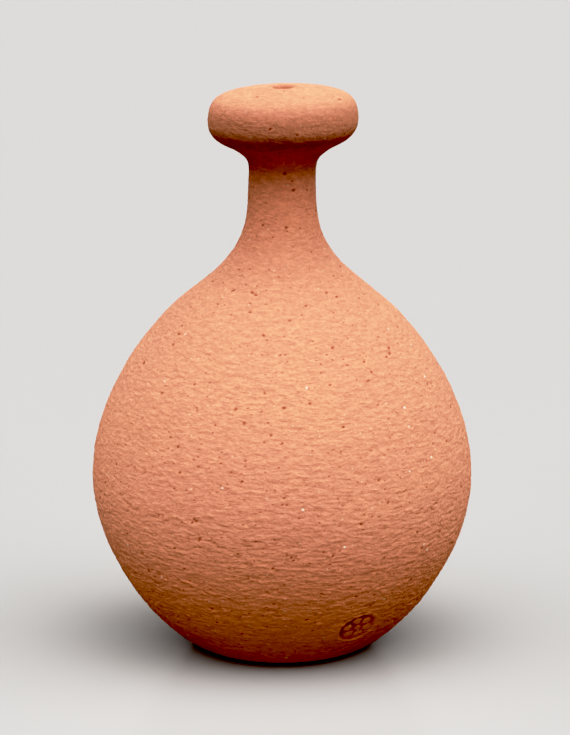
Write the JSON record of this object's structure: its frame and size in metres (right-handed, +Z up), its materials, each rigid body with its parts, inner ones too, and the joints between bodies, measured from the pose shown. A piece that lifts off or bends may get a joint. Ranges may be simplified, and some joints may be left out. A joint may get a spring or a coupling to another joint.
{
  "type": "bud vase",
  "caption": "Round-bellied terracotta bud vase with a slender neck under a thick domed collar, and a narrow mouth that holds a flower stem.",
  "frame": {"origin": "centre of the flat base, on the surface that the vase stands on", "axes": "+Z up along the turning axis; -Y is the front, with the small impressed seal low down to the right of it; +X to the right seen from the front"},
  "size_m": [0.1056, 0.1056, 0.1577],
  "materials": {
    "terracotta": "matt unglazed grogged terracotta with fine throwing lines",
    "liner_glaze": "glossy amber-clear liner glaze over terracotta"
  },
  "bodies": {
    "root": {"base_disc": "terracotta", "lower_bowl": "terracotta", "shoulder_dome": "terracotta", "neck_funnel": "terracotta", "collar_ring": "terracotta", "liner_glaze": "liner_glaze"}
  },
  "joints": []
}
